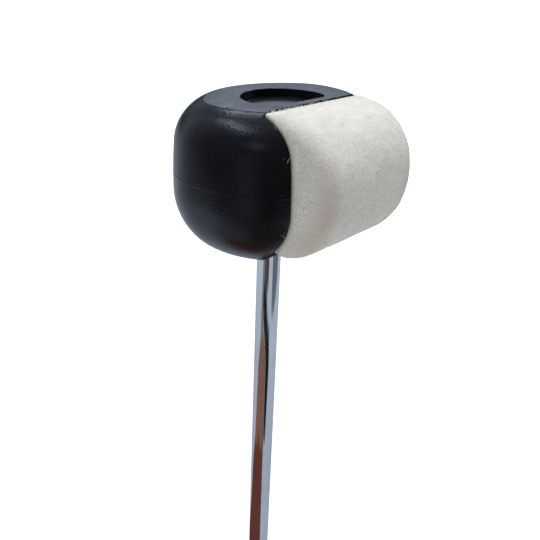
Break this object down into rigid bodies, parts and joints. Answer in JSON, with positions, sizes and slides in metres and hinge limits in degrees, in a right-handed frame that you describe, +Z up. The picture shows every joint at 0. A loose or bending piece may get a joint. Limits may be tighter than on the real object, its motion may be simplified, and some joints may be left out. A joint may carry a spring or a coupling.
{
  "type": "bass drum beater",
  "caption": "Bass drum beater: a black moulded barrel head with a felt strike face on one side and a plain plastic face on the other, on a straight chromed rod that a pedal clamps.",
  "frame": {"origin": "centre of the rod's foot, the end that goes into the pedal's clamp", "axes": "+Z up the rod towards the head, +X towards the felt strike face, +Y across the head to the player's left"},
  "size_m": [0.0648, 0.0662, 0.2355],
  "materials": {
    "chromed_rod": "polished chrome plating on steel",
    "black_moulding": "satin black moulded plastic with a parting line",
    "glue": "set contact glue",
    "felt": "hard pressed wool felt, off-white, with a few dark fibres",
    "zinc_steel": "zinc plated",
    "black_plug": "satin black moulded plastic"
  },
  "bodies": {
    "rod": {"shaft": "chromed_rod", "flat_washer": "zinc_steel", "lock_washer": "zinc_steel", "retaining_nut": "zinc_steel"},
    "head": {"head_body": "black_moulding", "felt_adhesive": "glue", "felt_block": "felt"},
    "plug": {"top_plug": "black_plug"}
  },
  "joints": [
    {"name": "head_turn", "type": "hinge", "parent": "rod", "child": "head", "pos_m": [0, 0, 0.199], "axis": [0, 0, 1], "continuous": true},
    {"name": "plug_pull", "type": "slide", "parent": "head", "child": "plug", "axis": [0, 0, 1], "range_m": [0, 0.012]}
  ]
}
